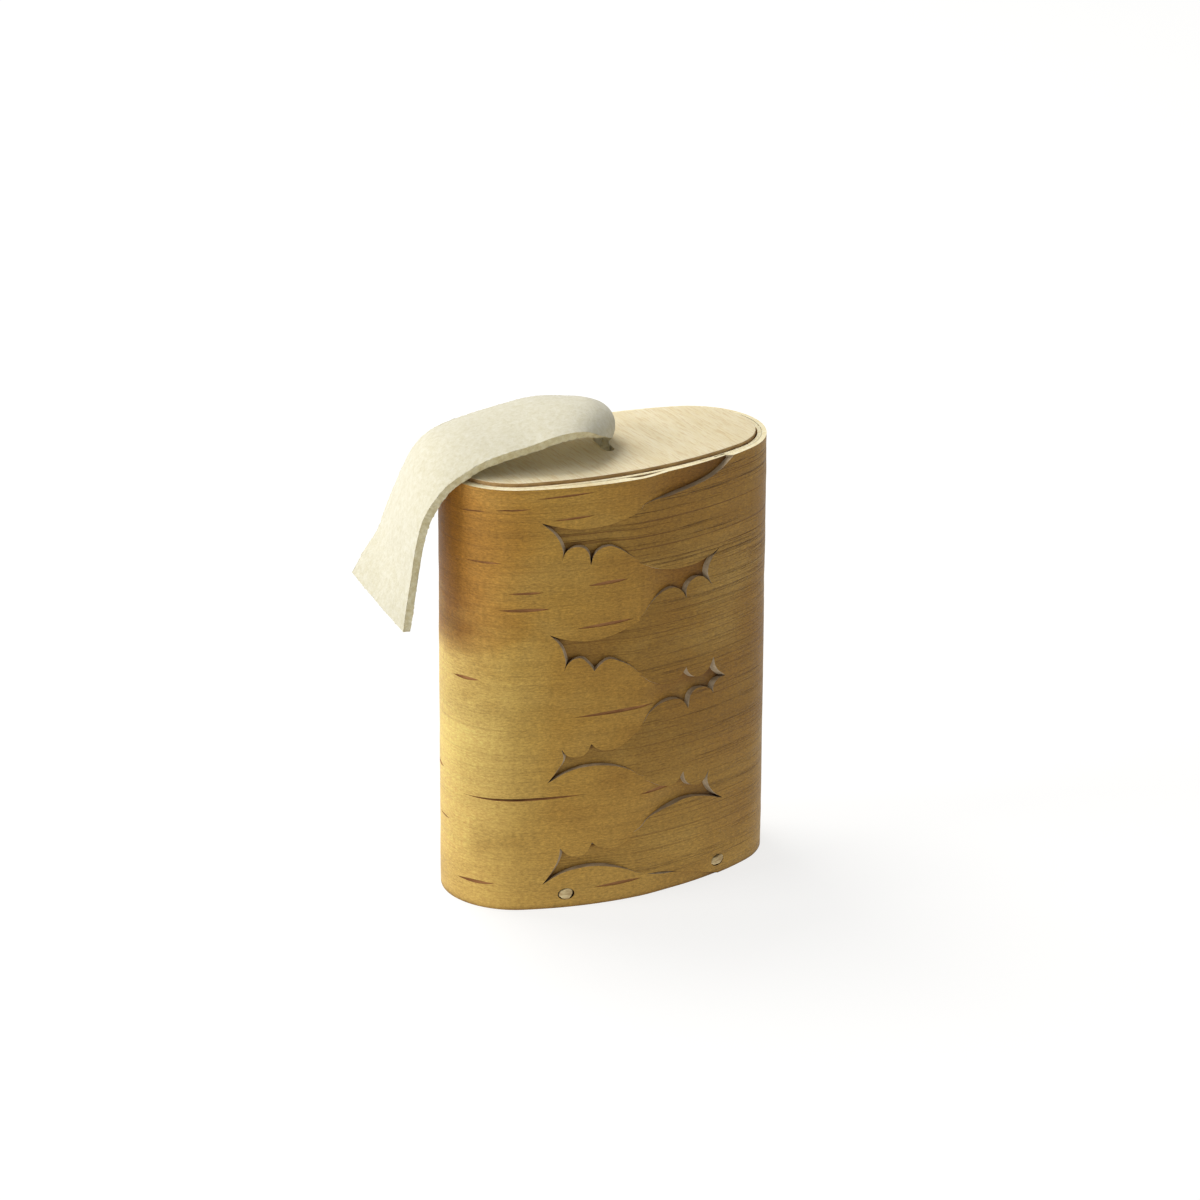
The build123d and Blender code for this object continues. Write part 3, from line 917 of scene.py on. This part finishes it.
def makeLid(wood, side):
    board = drawOvalMesh("lidBoard", lid["inset"], lid["bottom"], 0.0011)
    pick(board)
    bpy.ops.object.mode_set(mode="EDIT")
    bpy.ops.mesh.select_all(action="SELECT")
    bpy.ops.mesh.edge_face_add()
    rise = (0, 0, lid["top"] - lid["bottom"])
    bpy.ops.mesh.extrude_region_move(TRANSFORM_OT_translate={"value": rise})
    bpy.ops.mesh.select_all(action="SELECT")
    bpy.ops.mesh.normals_make_consistent(inside=False)
    bpy.ops.object.mode_set(mode="OBJECT")
    board.data.materials.append(wood)
    board.data.materials.append(side)
    # the sides take the darker finish: partly end grain, partly painted shade of the narrow gap round the
    # lid
    for face in board.data.polygons:
        face.material_index = 0 if abs(face.normal.z) > 0.5 else 1
    roundEdges(board, lid["round"], 4, 50)
    bpy.ops.object.select_all(action="DESELECT")
    bpy.ops.mesh.primitive_cube_add(
        size=1,
        location=(0, 0, lid["top"]),
        rotation=(0, 0, -strapTurn),
        scale=(lid["slotWidth"], lid["slotLength"], lid["slotDepth"]),
    )
    slot = bpy.context.object
    bpy.ops.object.transform_apply(location=True, rotation=True, scale=True)
    roundEdges(slot, lid["slotWidth"] * 0.45, 5, 50)
    slot.data.materials.append(wood)
    cutWith(board, slot)
    smoothFaces(board, 38)
    return board


def makePeg(name, x, facing, finish):
    short, bow = (oval["front"], wrapArcs[0][1]) if facing < 0 else (oval["back"], wrapArcs[2][1])
    lean = asin(x / bow)
    face = Vector((x, facing * (short - bow + bow * cos(lean)), peg["height"]))
    long = peg["length"] + peg["proud"]
    bpy.ops.object.select_all(action="DESELECT")
    bpy.ops.mesh.primitive_cylinder_add(
        vertices=28, radius=0.5, depth=long, end_fill_type="NGON", rotation=(pi / 2, 0, 0)
    )
    pin = bpy.context.object
    pin.name = name
    pin.scale = (peg["long"], peg["short"], 1)
    bpy.ops.object.transform_apply(location=False, rotation=True, scale=True)
    pin.data.transform(Matrix.Translation((0, peg["proud"] - long / 2, 0)))
    roundEdges(pin, peg["round"], 3, 50)
    cut = random.Random(round(x * 1000) * facing)
    for vertex in pin.data.vertices:
        turn = atan2(vertex.co.z, vertex.co.x)
        lumps = sin(turn * 2 + x * 90) + 0.6 * sin(turn * 3 + 1)
        swell = peg["roughness"] * (lumps + cut.uniform(-0.4, 0.4))
        vertex.co.x += swell * cos(turn)
        vertex.co.z += swell * sin(turn)
    pin.data.transform(Matrix.Rotation(-lean if facing > 0 else pi + lean, 4, "Z"))
    pin.data.transform(Matrix.Translation(face))
    pin.data.materials.append(finish)
    smoothFaces(pin, 45)
    return pin


def makeAllPegs(wood):
    for row, facing, hand, x in pegPlaces():
        node = f"base_peg_{row}_{hand}"
        pin = makePeg(f"{row}{hand.title()}Peg", x, facing, wood)
        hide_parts(node)
        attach(pin, "caddy")


# rows down the strap on its outer face: for the near edge, the middle and the far edge,
# how far along the strap's heading, how far across it, and the height, in millimetres
strapRows = (
    ((-1.15, -2.6, 103.5), (-1.15, 0.0, 103.5), (-1.15, 4.0, 103.5)),
    ((-1.15, -2.2, 115.0), (-1.15, 0.0, 115.0), (-1.15, 4.0, 115.0)),
    ((-1.05, -1.9, 120.9), (-1.15, 0.0, 120.9), (-1.20, 4.0, 120.9)),
    ((-0.50, -2.6, 122.4), (-2.70, 0.3, 123.4), (-2.50, 6.0, 123.0)),
    ((-0.70, -4.6, 124.0), (-3.40, 0.8, 126.2), (-3.10, 9.4, 125.4)),
    ((1.20, -7.6, 125.5), (-2.60, 1.0, 129.2), (-1.60, 12.2, 127.9)),
    ((5.00, -11.2, 127.8), (0.90, 0.8, 131.7), (2.60, 14.2, 129.7)),
    ((10.2, -13.8, 130.3), (6.50, 0.4, 132.7), (8.00, 14.8, 130.7)),
    ((17.6, -15.0, 130.5), (15.0, 0.0, 132.2), (15.2, 15.0, 131.1)),
    ((25.6, -15.0, 128.6), (24.0, 0.0, 130.7), (23.3, 15.0, 129.9)),
    ((33.5, -15.0, 127.1), (33.0, 0.0, 129.2), (31.3, 15.0, 128.4)),
    ((38.8, -15.0, 125.6), (40.5, 0.0, 127.7), (38.8, 15.0, 126.8)),
    ((44.0, -15.0, 123.1), (46.2, 0.0, 125.4), (44.2, 15.0, 124.6)),
    ((48.8, -15.0, 120.2), (50.6, 0.0, 121.4), (48.6, 15.0, 120.4)),
    ((52.5, -15.0, 116.2), (53.6, 0.0, 116.4), (51.4, 15.0, 115.6)),
    ((55.1, -15.0, 112.2), (55.8, 0.0, 111.2), (53.9, 15.0, 110.0)),
    ((57.2, -15.0, 105.5), (57.6, 0.0, 105.0), (56.1, 15.0, 104.8)),
    ((59.0, -15.0, 95.0), (59.5, 0.0, 96.6), (58.8, 15.0, 98.2)),
    ((60.3, -15.0, 87.1), (61.6, 0.0, 90.2), (62.3, 15.0, 93.2)),
    ((61.2, -15.0, 80.9), (63.6, 0.0, 84.1), (65.8, 15.0, 87.3)),
)
strap = dict(thickness=0.0023, across=13, stepsPerRow=9, edgeRound=0.00045, fuzz=0.00026, sag=0.0002)
heading = Vector((-cos(strapTurn), sin(strapTurn), 0))
crosswise = Vector((sin(strapTurn), cos(strapTurn), 0))


# one line down the strap: a smooth curve made a chain of edges
def drawStrapLine(name, points):
    bpy.ops.curve.primitive_bezier_curve_add()
    line = bpy.context.object
    line.name = name
    line.data.resolution_u = strap["stepsPerRow"]
    spline = line.data.splines[0]
    spline.bezier_points.add(len(points) - 2)
    for point, (along, across, up) in zip(spline.bezier_points, points):
        point.co = (heading * along + crosswise * across + Vector((0, 0, up))) / 1000
        point.handle_left_type = point.handle_right_type = "AUTO"
    bpy.ops.object.convert(target="MESH")
    return line


# a grid laid over the three lines, given the suede's thickness, soft edges and a fuzz
def makeStrap(suede, edge):
    lines = []
    for i in range(3):
        line = drawStrapLine("line", [row[i] for row in strapRows])
        lines.append([vertex.co.copy() for vertex in line.data.vertices])
        dropPiece(line)
    near, middle, far = lines
    rows, columns = len(near) - 1, strap["across"] * 2
    bpy.ops.object.select_all(action="DESELECT")
    bpy.ops.mesh.primitive_grid_add(x_subdivisions=rows, y_subdivisions=columns, size=1)
    piece = bpy.context.object
    piece.name = "liftStrap"
    for vertex in piece.data.vertices:
        row, side = round((vertex.co.x + 0.5) * rows), vertex.co.y * 2
        crown = (near[row] + far[row]) / 2 - middle[row]
        vertex.co = middle[row] + side * (far[row] - near[row]) / 2 + side * side * crown
    piece.data.update()
    highest = max(piece.data.polygons, key=lambda face: face.center.z)
    if highest.normal.z < 0:
        piece.data.flip_normals()
    piece.data.materials.append(suede)
    piece.data.materials.append(edge)
    addModifier(piece, "SOLIDIFY", thickness=strap["thickness"], offset=-1, material_offset_rim=1)
    roundEdges(piece, strap["edgeRound"], 2, 55)
    addModifier(piece, "SUBSURF", levels=1, render_levels=1)
    fuzzy = set()
    for face in piece.data.polygons:
        if face.material_index == 1:
            fuzzy.update(face.vertices)
    outward = [vertex.normal.copy() for vertex in piece.data.vertices]
    for vertex, normal in zip(piece.data.vertices, outward):
        bulk = noise.noise(vertex.co * 95) * strap["sag"]
        nap = noise.noise(vertex.co * 1450) * strap["fuzz"] * (1 if vertex.index in fuzzy else 0.22)
        vertex.co += normal * (bulk + nap)
    pick(piece)
    bpy.ops.object.shade_smooth()
    return piece


pinUnderLid = dict(radius=0.0015, length=0.0240, taper=0.0035, tip=0.55, roughness=0.00008)


def makeToggle(wood):
    low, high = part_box("strap_toggle")
    bpy.ops.object.select_all(action="DESELECT")
    bpy.ops.mesh.primitive_cylinder_add(
        vertices=18,
        radius=pinUnderLid["radius"],
        depth=pinUnderLid["length"] - 2 * pinUnderLid["taper"],
        end_fill_type="NGON",
    )
    pin = bpy.context.object
    pin.name = "strapPin"
    for side in (-1, 1):
        for face in pin.data.polygons:
            face.select = face.normal.z * side > 0.9
        for edgeLine in pin.data.edges:
            edgeLine.select = False
        bpy.ops.object.mode_set(mode="EDIT")
        bpy.context.tool_settings.mesh_select_mode = (False, False, True)
        for step in range(3):
            bpy.ops.mesh.extrude_region_move(
                TRANSFORM_OT_translate={"value": (0, 0, side * pinUnderLid["taper"] / 3)}
            )
            shrink = pinUnderLid["tip"] ** ((step + 1) / 3)
            bpy.ops.transform.resize(value=(shrink, shrink, 1))
        bpy.ops.object.mode_set(mode="OBJECT")
    for vertex in pin.data.vertices:
        wobble = noise.noise(vertex.co * 420) * pinUnderLid["roughness"] * 2
        vertex.co.x += wobble
        vertex.co.y -= wobble
    pin.data.transform(Matrix.Rotation(pi / 2, 4, "Y"))
    pin.data.transform(Matrix.Rotation(-strapTurn, 4, "Z"))
    pin.data.transform(Matrix.Translation((low + high) / 2))
    pin.data.materials.append(wood)
    smoothFaces(pin, 40)
    return pin


barkSkin = makeBarkSkin(sheetLength, seam["tongueReach"])
barkCut = makeBarkCut()
barkEdge = makeBarkEdge()
barkInside = makeBarkInside()
barkRimHighlight = makeRimHighlight()
lenticel = makeLenticel()
lidWood = makeLidWood()
# the lid's sides: darker brown, partly end grain and partly painted shade of the narrow gap round the lid
shadedLidSide = makeWhittledWood("shadedLidSide", tone(196, 162, 108), tone(158, 120, 70))
pegWood = makeWhittledWood("pegWood", tone(228, 208, 156), tone(158, 122, 68))
# the walls of the peg holes: near black, painted shade in the gap round each peg
shadedPegHole = makeWhittledWood("shadedPegHole", tone(92, 60, 26), tone(60, 38, 16))
suede = makeSuede("suede", tone(214, 210, 190), tone(202, 196, 168), 0.00020)
suedeEdge = makeSuede("suedeEdge", tone(232, 224, 188), tone(206, 192, 144), 0.00034)
print("finishes ready")

barkWrap = makeBarkWrap(barkSkin, barkCut, barkEdge, barkRimHighlight, lenticel, shadedPegHole)
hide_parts("bark_wrap")
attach(barkWrap, "caddy")
print("outer bark made")

barkLiner = makeLiner(barkInside, barkEdge)
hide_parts("bark_liner")
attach(barkLiner, "caddy")
makeAllPegs(pegWood)
print("inner bark and pegs made")

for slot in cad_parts["base_board"].material_slots:
    slot.material = lidWood

lidBoard = makeLid(lidWood, shadedLidSide)
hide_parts("lid_board")
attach(lidBoard, "lid")
strapPin = makeToggle(pegWood)
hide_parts("strap_toggle")
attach(strapPin, "lid")
print("lid made")

liftStrap = makeStrap(suede, suedeEdge)
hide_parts("strap_neck", "strap_tail")
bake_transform(liftStrap)
print("strap made")
